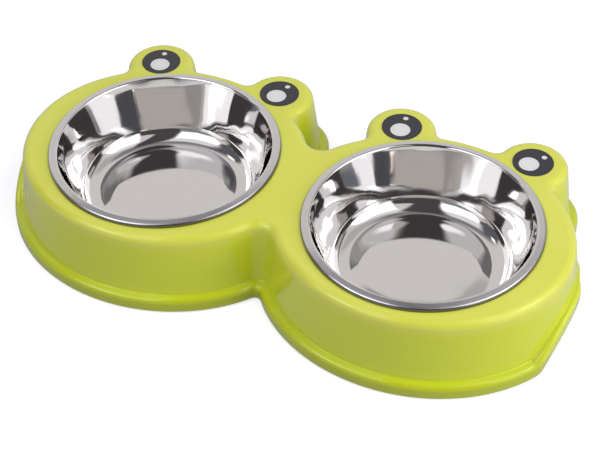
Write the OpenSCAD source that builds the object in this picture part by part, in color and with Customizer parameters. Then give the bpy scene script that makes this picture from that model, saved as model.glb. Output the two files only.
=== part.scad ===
// Twin feeding bowl for a cat or a small dog. Two pressed steel bowls lift out of
// one moulded stand whose outline is a pair of frog heads, seen from above.
// Units are millimetres. The origin is under the middle of the stand, on the floor,
// with X along the row of bowls, +Y towards the eyes and +Z up.

/* [Bowls] */
// Outer diameter of a bowl's rim
rim_d = 135; // [125:1:145]
// Width of the rim, from its outer edge to the mouth
rim_w = 5.5; // [4.5:0.25:7]
// Depth of a bowl inside, from the deck to the ring round its floor
bowl_depth = 33.6; // [28:0.2:38]
// Distance inward from the mouth to the edge of the floor
floor_inset = 21; // [17:0.5:26]
// Radius of the curve between floor and wall
floor_curve_r = 11.5; // [8:0.5:16]
// How far the middle of the floor is pressed up above that ring
floor_rise = 1.5; // [0.5:0.1:2.5]
// Radial width of the slope round the raised middle
rise_run = 5; // [3:0.5:8]
// Width of the level ring between that slope and the curve
ring_land = 1; // [0.5:0.25:2]
// Radius of the rolled edges of the rim
rim_roll_r = 1.6; // [1.2:0.1:2]
// Slope of the rim, down and outward, in degrees
rim_slope = 12; // [6:1:16]
// Height of the rim's straight lip above the deck
lip_h = 1; // [0.6:0.1:1.6]
// Thickness of the steel sheet
sheet_t = 0.7; // [0.5:0.1:0.9]
// Distance between the rims of the two bowls
bowl_space = 24.5; // [21:0.5:33]
// Radial gap between a bowl and the hole that it hangs in
bowl_gap = 0.8; // [0.5:0.1:1.5]

/* [Stand] */
// Height of the stand, from its lower edge to the deck
stand_h = 46.8; // [44:0.2:60]
// Deck left beyond the rim at the two ends
end_margin = 17.2; // [14:0.1:20]
// Deck left beyond the rim at the front
front_margin = 7.2; // [5:0.1:10]
// Wall thickness of the moulding
wall_t = 2.5; // [2:0.1:3]
// Radius of the deck's outer edge
edge_r = 5; // [3:0.5:6.5]
// How far the wall leans out between the deck and the foot flange
wall_lean = 4.7; // [2:0.1:6]
// Width of the foot flange
flange_w = 5.2; // [4:0.1:7]
// Height of the foot flange
flange_h = 8.5; // [7:0.5:11]
// Radius of the foot flange's upper edge
flange_r = 3.4; // [1.5:0.1:4]
// Radius of the notch between the heads, at the deck
waist_r = 10.5; // [9:0.5:13]
// Depth of the collar under each hole
collar_h = 12; // [8:1:16]
// Thickness of collars and ribs
rib_t = 2; // [1.6:0.1:2.4]

/* [Eyes] */
// Radius of the round lobe under each eye
lobe_r = 20; // [17:0.5:23]
// Turn of each lobe from straight behind its bowl, in degrees
lobe_turn = 29.25; // [27:0.25:32]
// Distance from the rim's edge to the middle of each lobe
lobe_out = 14.8; // [12:0.2:19]
// Radius of the blend between a lobe and the head, at the deck
blend_r = 7; // [6:0.5:9]
// Diameter of an eye's disc
eye_d = 23.6; // [18:0.2:30]
// Diameter of the pupil's window
pupil_d = 11.8; // [8:0.2:13]
// Distance of the pupil from the middle of the eye
pupil_off = 2.9; // [1:0.1:4]
// Diameter of the highlight's window
glint_d = 3.3; // [2:0.1:4]
// Distance of the highlight from the middle of the eye
glint_off = 8; // [7.8:0.1:8.6]
// Thickness of an eye's white vinyl disc
eye_white_t = 0.25; // [0.2:0.05:0.5]
// Thickness of an eye's black layer
eye_black_t = 0.2; // [0.15:0.05:0.4]

/* [Finger arches] */
// Height of the arch at each end
arch_h = 18; // [10:1:22]
// Half of the arch's width
arch_half_w = 42.5; // [36:0.5:44]
// Distance of the arch's middle behind the bowls' centre line
arch_y = 4.5; // [0:0.5:6]

/* [Rubber feet] */
// Diameter of a foot's head
foot_d = 11; // [9:0.5:12]
// Thickness of a foot's head
foot_t = 2; // [1.4:0.1:3]
// How far a foot stands below the stand
foot_proud = 0.8; // [0.5:0.1:1.2]
// Diameter of a foot's plug
plug_d = 7; // [5:0.2:7.6]
// Length of a foot's plug
plug_l = 6; // [4:0.5:10]
// Radial gap between a plug and its post
plug_gap = 0.15; // [0.1:0.05:0.3]

/* [Hidden] */
EYES = 4;
FEET = 8;
EYE_WHITE = [for (i = [1:EYES]) str("eye_white_", i)];
EYE_BLACK = [for (i = [1:EYES]) str("eye_black_", i)];
FOOT = [for (i = [1:FEET]) str("foot_", i)];

$fn = 96;
// Overrun of every cut past the face that it leaves
over = 1;

// Turn of each eye's highlight from straight back, left to right, in degrees
eye_turns = [13, -14, 4, -36];
// Place of the front posts along a head's curve, in degrees below the row's axis
post_turn = 35;
// Shares of the flange's width that its groove and its rounded edge may take
groove_share = 0.2;
round_share = 0.65;
// Shares of the flange's width left at the crown of an arch and behind it
crown_share = 0.72;
bead_share = 0.3;
// Shares of the arch's half width where the flange starts and ends its taper
taper_start_share = 0.0;
taper_end_share = 0.3;
// Share of the arch's half width over which the full flange comes back
return_share = 0.12;
// How square the arch is: 2 is a parabola
arch_power = 2.5;
// Shares by which the two inside corners tighten towards the foot
waist_tighten_share = 0.7;
blend_tighten_share = 0.4;
// Share of the wall taken by the bevel on the lower edge
bevel_share = 0.25;
// Size of the chamfer under the deck, as a share of the wall
corner_share = 1.5;
// Distance of each web from the centre line, as a share of a hole's radius
web_share = 0.28;

rim_r = rim_d / 2;
mouth_r = rim_r - rim_w;
floor_r = mouth_r - floor_inset;
pitch = rim_d + bowl_space;
lobe_x = (rim_r + lobe_out) * sin(lobe_turn);
lobe_y = (rim_r + lobe_out) * cos(lobe_turn);
hole_r = mouth_r + sheet_t + bowl_gap;
collar_r = hole_r + rib_t;
web_y = web_share * hole_r;
web_half = pitch / 2 - sqrt(pow(hole_r + rib_t / 2, 2) - web_y * web_y);
deck_a = rim_r + end_margin;
deck_b = rim_r + front_margin;
flange_out = wall_lean + flange_w;
lean_angle = atan(wall_lean / (stand_h - flange_h));
inner_top = stand_h - wall_t;
// Chamfer where the wall meets the deck's underside
corner = corner_share * wall_t;
// Where the deck's rounded edge starts, and how far its section runs on above it
edge_start = -edge_r * tan((90 - lean_angle) / 2);
lift = over / 2;
eye_r = eye_d / 2;
post_r = plug_d / 2 + plug_gap + rib_t;
back_y = lobe_y + lobe_r + flange_out;
front_y = deck_b + flange_out;
// The bowls' centre line lies this far in front of the middle of the stand
row_shift = (back_y - front_y) / 2;

// Steps along each stretch of the outline
waist_steps = 4;
front_steps = 36;
blend_steps = 3;
lobe_steps = 12;
brow_steps = 6;
cheek_steps = 8;
edge_steps = 3;
flange_steps = 3;
bowl_steps = 10;
roll_steps = 6;
dilate_steps = 8;

// General helpers

function unit(a) = [cos(a), sin(a)];
function mix(a, b, f) = a + (b - a) * f;
function ease(x) = let (c = max(0, min(1, x))) c * c * (3 - 2 * c);
function angle_of(v) = atan2(v.y, v.x);
// The angle nearest to a that is the same direction as b
function near(b, a) = b + 360 * round((a - b) / 360);
// Root of f between lo and hi by halving
function root(f, lo, hi, n = 36) =
    n == 0 ? (lo + hi) / 2
    : let (m = (lo + hi) / 2)
      sign(f(lo)) == sign(f(m)) ? root(f, m, hi, n - 1) : root(f, lo, m, n - 1);

// Outline of one head, round its bowl's centre. Each station is a point and the
// outward direction there, for the outline moved out from the deck's by d.

function head_dir(t) = let (n = [cos(t) / deck_a, sin(t) / deck_b]) n / norm(n);
function head_at(t, d) = [deck_a * cos(t), deck_b * sin(t)] + d * head_dir(t);
function head_run(t0, t1, steps, d) =
    [for (i = [0:steps]) let (t = mix(t0, t1, i / steps)) [head_at(t, d), head_dir(t)]];
// Stations on an arc round c; side is 1 on a bulge and -1 in a hollow
function arc_run(c, r, a0, a1, steps, side) =
    [for (i = [0:steps]) let (u = unit(mix(a0, a1, i / steps))) [c + r * u, side * u]];
function drop_last(v) = [for (i = [0:len(v) - 2]) v[i]];
function reversed(v) = [for (i = [len(v) - 1:-1:0]) v[i]];
function flip_x(v) = [for (s = reversed(v)) [[-s[0].x, s[0].y], [-s[1].x, s[1].y]]];
function shift_x(v, x) = [for (s = v) [s[0] + [x, 0], s[1]]];

function waist_radius(d) = waist_r - waist_tighten_share * d;
function blend_radius(d) = blend_r - blend_tighten_share * d;

lobe_c = [lobe_x, lobe_y];
lobe_t = atan2(lobe_y / deck_b, lobe_x / deck_a);

// Where the head's curve ends at a blend with its lobe, for lo and hi on either side
function blend_t(d, lo, hi) =
    let (r = blend_radius(d))
    root(function (t) norm(head_at(t, d + r) - lobe_c) - (lobe_r + d + r), lo, hi);
// Where the head's curve ends at the waist, on its front side
function waist_t(d) =
    let (r = waist_radius(d))
    root(function (t) head_at(t, d + r).x + pitch / 2, 180, 270);

// Blend, lobe and blend, from the head's end side to its brow
function lobe_run(d, t_out, t_in) =
    let (
        r = blend_radius(d),
        c_out = head_at(t_out, d + r),
        c_in = head_at(t_in, d + r),
        a_out = angle_of(-head_dir(t_out)),
        b_out = near(angle_of(lobe_c - c_out), a_out),
        a_lobe = angle_of(c_out - lobe_c),
        b_lobe = near(angle_of(c_in - lobe_c), a_lobe + 180),
        a_in = angle_of(lobe_c - c_in),
        b_in = near(angle_of(-head_dir(t_in)), a_in)
    )
    concat(
        drop_last(arc_run(c_out, r, a_out, b_out, blend_steps, -1)),
        drop_last(arc_run(lobe_c, lobe_r + d, a_lobe, b_lobe, lobe_steps, 1)),
        arc_run(c_in, r, a_in, b_in, blend_steps, -1)
    );

// Half of the stand's outline, from the middle of the front round the right head
function half_run(d) =
    let (
        t_waist = waist_t(d),
        t_out = blend_t(d, 0, lobe_t),
        t_in = blend_t(d, 90, lobe_t),
        r = waist_radius(d),
        c = head_at(t_waist, d + r),
        lobe = lobe_run(d, t_out, t_in),
        waist = arc_run(c, r, 90, angle_of(-head_dir(t_waist)), waist_steps, -1)
    )
    shift_x(concat(
        drop_last(waist),
        drop_last(head_run(t_waist, 360 + t_out, front_steps, d)),
        drop_last(lobe),
        drop_last(head_run(t_in, 180 - t_in, brow_steps, d)),
        drop_last(flip_x(lobe)),
        drop_last(head_run(180 - t_out, 360 - t_waist, cheek_steps, d)),
        [for (s = reversed(waist)) [[s[0].x, -s[0].y], [s[1].x, -s[1].y]]]
    ), pitch / 2);

// The whole outline, anticlockwise from above, each point once
function outline(d) = let (h = half_run(d)) concat(drop_last(h), drop_last(flip_x(h)));

// Height of the lower edge at a place y on an end of the stand
function arch_at(y) =
    let (f = abs(y - arch_y) / arch_half_w) f < 1 ? arch_h * (1 - pow(f, arch_power)) : 0;
// Height of the flange's top, which keeps its distance from the lower edge
function flange_top(y) =
    max([for (i = [-dilate_steps:dilate_steps])
        let (f = i / dilate_steps) arch_at(y + f * flange_h) + flange_h * sqrt(1 - f * f)]);
// Width of the flange: narrower over the arch, and a bead behind its crown
function flange_width(y) =
    let (
        u = (y - arch_y) / arch_half_w,
        crown = mix(1, crown_share, arch_at(y) / arch_h),
        taper = ease((u - taper_start_share) / (taper_end_share - taper_start_share)),
        back = ease((u - 1) / return_share)
    )
    flange_w * crown * mix(1, mix(bead_share / crown, 1, back), taper);

// Bearing of a step of the deck's rounded edge
function edge_angle(i) = mix(90, lean_angle, i / edge_steps);
// Offset of the outer wall from the deck's outline at a height z
function wall_at(z) = wall_lean * (stand_h - z) / (stand_h - flange_h);

// Section of the rim of the moulding, as offsets and heights: over the deck's edge,
// down the wall, round the flange and up the inside into the deck. It starts above
// the deck, on the line of the edge's first step, and is cut level with it.
function section(low, top, width) =
    let (
        groove = groove_share * width,
        r = min(flange_r, round_share * width),
        out = wall_at(top) + width,
        bevel = bevel_share * wall_t
    )
    concat(
        [[edge_start - lift / tan((90 - edge_angle(1)) / 2), stand_h + lift]],
        [for (i = [1:edge_steps]) [edge_start, stand_h - edge_r] + edge_r * unit(edge_angle(i))],
        [
            [wall_at(top + groove), top + groove],
            [wall_at(top) + groove_share * groove, top + groove_share * groove],
            [wall_at(top) + groove, top]
        ],
        [for (i = [0:flange_steps]) let (a = mix(90, 0, i / flange_steps))
            [out - r + r * cos(a), top - r + r * sin(a)]],
        [
            [out, low + bevel],
            [out - bevel, low],
            [out - wall_t, low],
            [out - wall_t, top - wall_t],
            [wall_at(top - wall_t) - wall_t, top - wall_t],
            [wall_at(inner_top - corner) - wall_t, inner_top - corner],
            [wall_at(inner_top) - wall_t - corner - wall_t / 2, inner_top + wall_t / 2]
        ]
    );

plain_section = section(0, flange_h, flange_w);
// Stations on the line that the flange's face follows set how the arch runs
guide = outline(flange_out);
sections = [for (s = guide)
    abs(s[0].x) < pitch / 2 ? plain_section
    : section(arch_at(s[0].y), flange_top(s[0].y), flange_width(s[0].y))];
rings = len(plain_section);
stations = len(guide);

// Points of the moulding, ring by ring
shell_points = [for (k = [0:rings - 1])
    let (d = plain_section[k].x, line = outline(d))
    for (i = [0:stations - 1])
        let (p = line[i][0] + (sections[i][k].x - d) * line[i][1]) [p.x, p.y, sections[i][k].y]];
shell_faces = [for (k = [0:rings - 1]) for (i = [0:stations - 1])
    let (j = (i + 1) % stations, a = k * stations, b = (k + 1) % rings * stations)
    each [[a + i, a + j, b + i], [a + j, b + j, b + i]]];

// Places that repeat, seen from the middle between the two bowls

heads = [-1, 1];
bowl_x = [for (h = heads) h * pitch / 2];
wall_place = head_at(-post_turn, 0);
// A front post stands halfway between the collar and the wall
front_post = wall_place * (collar_r + norm(wall_place) - wall_t) / 2 / norm(wall_place);
eye_places = [for (x = bowl_x) for (s = heads) [x + s * lobe_x, lobe_y]];
post_places = [for (x = bowl_x) each [
    for (s = heads) [x + s * lobe_x, lobe_y],
    for (s = heads) [x + s * front_post.x, front_post.y]
]];

// Everything is drawn on the bowls' centre line, with the stand's lower edge at zero
module placed() {
    translate([0, -row_shift, foot_proud])
        children();
}

// Stand

module deck() {
    translate([0, 0, inner_top])
        linear_extrude(wall_t + lift)
            polygon([for (s = outline(edge_start - over)) s[0]]);
}

module above_deck() {
    translate([-deck_a - pitch, -back_y, stand_h])
        cube([2 * (deck_a + pitch), 2 * back_y, 2 * over]);
}

module collar(x) {
    translate([x, 0, stand_h - collar_h])
        cylinder(h = collar_h - wall_t / 2, r = collar_r);
}

module hole(x) {
    translate([x, 0, stand_h - collar_h - over])
        cylinder(h = collar_h + 2 * over, r = hole_r);
}

module post(p) {
    translate([p.x, p.y, foot_t - foot_proud])
        cylinder(h = stand_h - wall_t / 2 - foot_t + foot_proud, r = post_r);
}

module post_bore(p) {
    translate([p.x, p.y, -over])
        cylinder(h = stand_h - wall_t + over, r = plug_d / 2 + plug_gap);
}

// Web between the collars, under the middle of the deck
module web(y) {
    translate([-web_half, y - rib_t / 2, stand_h - collar_h])
        cube([2 * web_half, rib_t, collar_h - wall_t / 2]);
}

module stand() {
    color([0.78, 0.82, 0.20])
        placed()
            difference() {
                union() {
                    polyhedron(points = shell_points, faces = shell_faces, convexity = 10);
                    deck();
                    for (x = bowl_x) collar(x);
                    for (p = post_places) post(p);
                    for (s = heads) web(s * web_y);
                }
                above_deck();
                for (x = bowl_x) hole(x);
                for (p = post_places) post_bore(p);
            }
}

// Bowls

// Centres of the floor's curve and of the two rolls of the rim
curve_c = [floor_r, floor_curve_r - bowl_depth];
rim_run = rim_w - 2 * rim_roll_r;
mouth_roll_c = [mouth_r + rim_roll_r, lip_h + rim_run * tan(rim_slope)];
outer_roll_c = [rim_r - rim_roll_r, lip_h];
wall_span = mouth_roll_c - curve_c;
// Lean of the bowl's wall, which touches the floor's curve and the mouth's roll
bowl_lean = acos((floor_curve_r + rim_roll_r) / norm(wall_span)) - angle_of(wall_span);

// One face of the sheet: 0 is the inside and sheet_t the outside
function bowl_face(t) = concat(
    [
        [0, floor_rise - bowl_depth - t],
        [floor_r - ring_land - rise_run, floor_rise - bowl_depth - t],
        [floor_r - ring_land, -bowl_depth - t]
    ],
    [for (i = [0:bowl_steps])
        curve_c + (floor_curve_r + t) * unit(mix(-90, -bowl_lean, i / bowl_steps))],
    [for (i = [0:roll_steps])
        mouth_roll_c + (rim_roll_r - t) * unit(mix(180 - bowl_lean, 90 - rim_slope, i / roll_steps))],
    [for (i = [0:roll_steps])
        outer_roll_c + (rim_roll_r - t) * unit(mix(90 - rim_slope, 0, i / roll_steps))],
    [[rim_r - t, 0]]
);

module bowl(x) {
    color([0.80, 0.80, 0.81])
        placed()
            translate([x, 0, stand_h])
                rotate_extrude()
                    polygon(concat(bowl_face(0), reversed(bowl_face(sheet_t))));
}

module left_bowl() {
    bowl(bowl_x[0]);
}

module right_bowl() {
    bowl(bowl_x[1]);
}

// Eyes, numbered from left to right

module eye_white(i) {
    color([0.93, 0.93, 0.92])
        placed()
            translate([eye_places[i].x, eye_places[i].y, stand_h])
                cylinder(h = eye_white_t, r = eye_r);
}

module eye_black(i) {
    color([0.2, 0.2, 0.23])
        placed()
            translate([eye_places[i].x, eye_places[i].y, stand_h + eye_white_t])
                rotate(eye_turns[i])
                    linear_extrude(eye_black_t)
                        difference() {
                            circle(r = eye_r);
                            translate([0, -pupil_off]) circle(d = pupil_d);
                            translate([0, glint_off]) circle(d = glint_d);
                        }
}

// Rubber feet, pressed into the posts

module foot(i) {
    color([0.16, 0.16, 0.17])
        placed()
            translate([post_places[i].x, post_places[i].y, -foot_proud]) {
                cylinder(h = foot_t, d = foot_d);
                cylinder(h = foot_t + plug_l, d = plug_d);
            }
}

stand();
left_bowl();
right_bowl();
for (i = [0:EYES - 1]) eye_white(i);
for (i = [0:EYES - 1]) eye_black(i);
for (i = [0:FEET - 1]) foot(i);
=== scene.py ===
"""Looks of the twin feeding bowl: a glossy moulded stand with two lift-out steel bowls.

Lengths are in millimetres where meshes are built, and in metres in the finishes and the studio, unless a value
says otherwise.
"""

import logging
import math
from dataclasses import dataclass, replace
from enum import Enum
from typing import Callable, Iterable, Sequence

import bmesh
import bpy
from mathutils import Matrix, Vector


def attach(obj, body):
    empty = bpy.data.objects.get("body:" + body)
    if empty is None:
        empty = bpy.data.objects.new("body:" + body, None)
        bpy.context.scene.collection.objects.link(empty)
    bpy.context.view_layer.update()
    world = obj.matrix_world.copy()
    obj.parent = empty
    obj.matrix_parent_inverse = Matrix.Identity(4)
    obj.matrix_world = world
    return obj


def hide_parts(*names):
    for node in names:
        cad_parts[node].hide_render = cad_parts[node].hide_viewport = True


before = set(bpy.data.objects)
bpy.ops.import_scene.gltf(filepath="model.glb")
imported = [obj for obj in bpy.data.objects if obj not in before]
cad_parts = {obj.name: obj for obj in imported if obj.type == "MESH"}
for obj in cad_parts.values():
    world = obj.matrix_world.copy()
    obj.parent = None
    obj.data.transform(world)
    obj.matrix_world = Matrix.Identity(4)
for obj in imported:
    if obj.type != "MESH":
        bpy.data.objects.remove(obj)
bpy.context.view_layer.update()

log = logging.getLogger("feeding_bowl")
logging.basicConfig(level=logging.INFO, format="%(name)s: %(message)s")

MM = 0.001
HALVINGS = 44
Flat = tuple[float, float]
Station = tuple[Flat, Flat]
Colour = tuple[float, float, float]
Socket = bpy.types.NodeSocket
Inputs = dict[int | str, object]
Ring = list[bmesh.types.BMVert]


def mix(a: float, b: float, f: float) -> float:
    """The value a share f of the way from a to b."""
    return a + (b - a) * f


def between(a: Flat, b: Flat, f: float) -> Flat:
    """The point a share f of the way from a to b."""
    return mix(a[0], b[0], f), mix(a[1], b[1], f)


def ease(x: float) -> float:
    """A smooth step from 0 to 1."""
    c = min(max(x, 0.0), 1.0)
    return c * c * (3 - 2 * c)


def unit(degrees: float) -> Flat:
    """The direction at a bearing."""
    return math.cos(math.radians(degrees)), math.sin(math.radians(degrees))


def bearing(x: float, y: float) -> float:
    """The bearing of a direction, in degrees."""
    return math.degrees(math.atan2(y, x))


def near(b: float, a: float) -> float:
    """The angle nearest to a that is the same direction as b."""
    return b + 360 * round((a - b) / 360)


def arc(centre: Flat, radius: float, start: float, end: float, steps: int) -> list[Flat]:
    """Points of an arc from one bearing to another, with both ends."""
    turns = [unit(mix(start, end, i / steps)) for i in range(steps + 1)]
    return [(centre[0] + radius * u[0], centre[1] + radius * u[1]) for u in turns]


def bend(a: Flat, b: Flat, c: Flat, reach: float, steps: int = 6) -> list[Flat]:
    """Rounds the corner b of the line a, b, c.

    Args:
        a: the point before the corner.
        b: the corner.
        c: the point after it.
        reach: length taken from each side.
        steps: steps of the round.

    Returns:
        Points of the round, which touches both sides.
    """
    first, last = (between(b, tip, reach / math.dist(b, tip)) for tip in (a, c))
    shares = [i / steps for i in range(steps + 1)]
    return [between(between(first, b, f), between(b, last, f), f) for f in shares]


def root(f: Callable[[float], float], lo: float, hi: float) -> float:
    """Finds where a function crosses zero, by halving the stretch.

    Args:
        f: the function, with opposite signs at the two ends.
        lo: one end of the stretch.
        hi: its other end.

    Returns:
        The crossing.
    """
    low_sign = f(lo) > 0
    for _ in range(HALVINGS):
        middle = (lo + hi) / 2
        if (f(middle) > 0) == low_sign:
            lo = middle
        else:
            hi = middle
    return (lo + hi) / 2


class Slot(Enum):
    """The record's material slots."""

    PLASTIC = "stand_plastic"
    STEEL = "bowl_steel"
    FILM = "eye_white"
    PRINT = "eye_black"
    RUBBER = "foot_rubber"


class Side(Enum):
    """The two bowls, seen from the front."""

    LEFT = -1
    RIGHT = 1

    @property
    def body(self) -> str:
        """Name of this bowl's body and of its node."""
        return f"{self.name.lower()}_bowl"


class Wiring:
    """Adds nodes to a tree and joins them."""

    def __init__(self, tree: bpy.types.NodeTree) -> None:
        """Takes the tree that the nodes go into."""
        self.tree = tree

    def feed(self, node: bpy.types.Node, inputs: Inputs) -> None:
        """Joins or sets some inputs of a node.

        Args:
            node: the node.
            inputs: a socket to join or a value to set, for each input's name or number.
        """
        for key, value in inputs.items():
            if isinstance(value, Socket):
                self.tree.links.new(value, node.inputs[key])
            else:
                node.inputs[key].default_value = value

    def add(self, kind: str, inputs: Inputs | None = None, out: int | str = 0, **settings: object) -> Socket:
        """Adds one node.

        Args:
            kind: the node's type.
            inputs: a socket to join or a value to set, for each input's name or number.
            out: the output to hand back.
            **settings: properties of the node.

        Returns:
            The chosen output, or the first input of a node that ends its tree.
        """
        node = self.tree.nodes.new(kind)
        for name, value in settings.items():
            setattr(node, name, value)
        self.feed(node, inputs or {})
        return node.outputs[out] if len(node.outputs) else node.inputs[0]

    def math(self, operation: str, *values: float | Socket, clamp: bool = False) -> Socket:
        """Adds a Math node over the values."""
        return self.add("ShaderNodeMath", dict(enumerate(values)), operation=operation, use_clamp=clamp)

    def vector(self, operation: str, *values: object, out: int | str = 0) -> Socket:
        """Adds a Vector Math node over the values."""
        return self.add("ShaderNodeVectorMath", dict(enumerate(values)), out=out, operation=operation)

    def scaled(self, value: Socket, factor: float | Socket) -> Socket:
        """Scales a vector."""
        return self.add("ShaderNodeVectorMath", {0: value, 3: factor}, operation="SCALE")

    def place(self) -> Socket:
        """The place on the object."""
        return self.add("ShaderNodeTexCoord", out="Object")

    def height(self, place: Socket) -> Socket:
        """The height of a place."""
        return self.add("ShaderNodeSeparateXYZ", {0: place}, out=2)

    def span(self, value: Socket, low: float, high: float, to_low: float = 0.0,
             to_high: float = 1.0) -> Socket:
        """Maps a value from one range smoothly to another.

        Args:
            value: the value to map.
            low: start of its range.
            high: end of its range.
            to_low: result at the start.
            to_high: result at the end.

        Returns:
            The mapped value.
        """
        return self.add("ShaderNodeMapRange", {0: value, 1: low, 2: high, 3: to_low, 4: to_high},
                        interpolation_type="SMOOTHSTEP")

    def noise(self, place: Socket, scale: float, detail: float = 2.0) -> Socket:
        """Adds a Noise Texture and hands back its value."""
        return self.add("ShaderNodeTexNoise", {"Vector": place, "Scale": scale, "Detail": detail})

    def blend(self, share: object, a: object, b: object) -> Socket:
        """Mixes two colours by a share."""
        return self.add("ShaderNodeMix", {0: share, 6: a, 7: b}, out=2, data_type="RGBA")

    def bump(self, height: Socket, distance: float, strength: float = 1.0,
             over: Socket | None = None) -> Socket:
        """Adds a relief, over another one where it is given.

        Args:
            height: the relief at each place, as a share of its full height.
            distance: its full height.
            strength: how much of it is felt.
            over: the relief beneath it.

        Returns:
            The bent normal.
        """
        under = {} if over is None else {"Normal": over}
        inputs = {"Height": height, "Distance": distance, "Strength": strength}
        return self.add("ShaderNodeBump", inputs | under)

    def join(self, parts: Sequence[Socket]) -> Socket:
        """Joins some geometry into one.

        Args:
            parts: the geometry sockets, in their order.

        Returns:
            The joined geometry.
        """
        node = self.tree.nodes.new("GeometryNodeJoinGeometry")
        for part in parts:
            self.tree.links.new(part, node.inputs[0])
        return node.outputs[0]


def empty_tree(owner: bpy.types.Material | bpy.types.World) -> Wiring:
    """Gives a material or world an empty node tree.

    Args:
        owner: the material or world.

    Returns:
        The wiring of its tree.
    """
    owner.use_nodes = True
    owner.node_tree.nodes.clear()
    return Wiring(owner.node_tree)


@dataclass(frozen=True)
class Finish:
    """What every finish of the object has: a name, a colour and a shine.

    Attributes:
        name: the material's name.
        colour: the plain colour, linear.
        roughness: the plain roughness.
    """

    name: str
    colour: Colour
    roughness: float

    def start(self) -> tuple[bpy.types.Material, Wiring, bpy.types.Node]:
        """Makes an empty material.

        Returns:
            The material, its wiring and its Principled shader.
        """
        material = bpy.data.materials.new(self.name)
        wiring = empty_tree(material)
        shader = wiring.tree.nodes.new("ShaderNodeBsdfPrincipled")
        wiring.feed(shader, {"Base Color": self.tint(), "Roughness": self.roughness})
        wiring.add("ShaderNodeOutputMaterial", {"Surface": shader.outputs[0]})
        return material, wiring, shader

    def tint(self, factor: float = 1.0, shift: Colour = (1, 1, 1)) -> tuple[float, float, float, float]:
        """The colour times a factor and a shift, as four numbers."""
        return tuple(c * factor * s for c, s in zip(self.colour, shift)) + (1,)

    def uneven(self, wiring: Wiring, value: Socket, span: Flat, factors: Flat) -> Socket:
        """The roughness, made uneven by a value.

        Args:
            wiring: the material's wiring.
            value: the value, such as a noise.
            span: the value's range.
            factors: what the roughness is multiplied by at the ends of the range.

        Returns:
            The roughness at each place.
        """
        return wiring.span(value, *span, *(self.roughness * factor for factor in factors))

    def material(self) -> bpy.types.Material:
        """Makes the finish's material."""
        raise NotImplementedError


@dataclass(frozen=True)
class MouldedPlastic(Finish):
    """Glossy moulded plastic: even colour with painted sheen on the deck and painted shade down the wall and
    at the foot, a hard shine with slow waves in it, a fine grain.

    Attributes:
        shine: roughness of the polished skin over it.
        depth: how much light passes under the surface.
        depth_reach: how far it passes, in metres.
        wave_height: height of the slow waves that cooling leaves.
        grain_height: height of the fine grain.
        wall_band: heights between which the wall's painted shade gives way to the deck's painted sheen, in
            metres.
        foot_shade_band: heights between which the foot's painted shade gives way to the wall's, in metres.
        deck_sheen_shifts: the deck's two cloudy tones against the plain colour, paler and bluer as painted
            sheen.
        wall_shade_shift: the wall's tone, greener and deeper as painted shade.
        foot_shade_shift: the foot's tone, darker and greener as painted shade.
    """

    name: str = "Lime_moulding"
    colour: Colour = (0.655, 0.68, 0.045)
    roughness: float = 0.40
    shine: float = 0.04
    depth: float = 0.15
    depth_reach: float = 0.0025
    wave_height: float = 0.00006
    grain_height: float = 0.000004
    # The bands and shifts below paint sheen on the deck and shade down the wall and at the foot.
    wall_band: Flat = (0.037, 0.045)
    foot_shade_band: Flat = (0.006, 0.012)
    deck_sheen_shifts: tuple[Colour, Colour] = ((1.0, 0.99, 1.7), (1.0, 0.99, 2.0))
    wall_shade_shift: Colour = (0.93, 1.0, 0.35)
    foot_shade_shift: Colour = (0.91, 1.0, 0.2)

    def material(self) -> bpy.types.Material:
        """Makes the plastic.

        Returns:
            The material.
        """
        material, wiring, shader = self.start()
        place = wiring.place()
        smear = wiring.noise(place, 45.0, 4.0)
        slow = wiring.bump(wiring.noise(place, 22.0, 1.0), self.wave_height)
        wiring.feed(shader, {
            "Base Color": self.tone(wiring, place),
            "Roughness": self.uneven(wiring, smear, (0.3, 0.75), (0.85, 1.3)),
            "Normal": wiring.bump(wiring.noise(place, 1500.0, 2.0), self.grain_height, 0.6, over=slow),
            "Subsurface Weight": self.depth,
            "Subsurface Radius": (1.0, 1.0, 0.25),
            "Subsurface Scale": self.depth_reach,
            "IOR": 1.5,
            "Specular IOR Level": 0.18,
            "Coat Weight": 1.0,
            "Coat Roughness": self.shine,
            "Coat IOR": 1.45,
        })
        return material

    def tone(self, wiring: Wiring, place: Socket) -> Socket:
        """The colour: cloudy and finely specked, paler on the deck as painted sheen, and deeper on the wall
        and at the foot as painted shade.

        Args:
            wiring: the material's wiring.
            place: the place on the stand.

        Returns:
            The colour at each place.
        """
        cloud = wiring.span(wiring.noise(place, 16.0, 3.0), 0.3, 0.7)
        fleck = wiring.span(wiring.noise(place, 900.0, 1.0), 0.66, 0.9, 0.0, 0.25)
        # Painted sheen: both deck tones are paler and bluer than the plain colour; the cloud between them is
        # random tone.
        calm, cloudy = self.deck_sheen_shifts
        even = wiring.blend(cloud, self.tint(1.0, calm), self.tint(1.05, cloudy))
        worn = wiring.blend(fleck, even, self.tint(1.1, (1.0, 0.98, 2.0)))
        # Painted shade: the wall below the deck is greener and deeper, and the foot darker still.
        height = wiring.height(place)
        side = wiring.span(height, *self.wall_band, 0.8, 0.0)
        shaded_wall = wiring.blend(side, worn, self.tint(1.0, self.wall_shade_shift))
        # Painted shade: the foot is darkened towards the floor.
        low = wiring.span(height, *self.foot_shade_band, 0.9, 0.0)
        return wiring.blend(low, shaded_wall, self.tint(0.77, self.foot_shade_shift))


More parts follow.
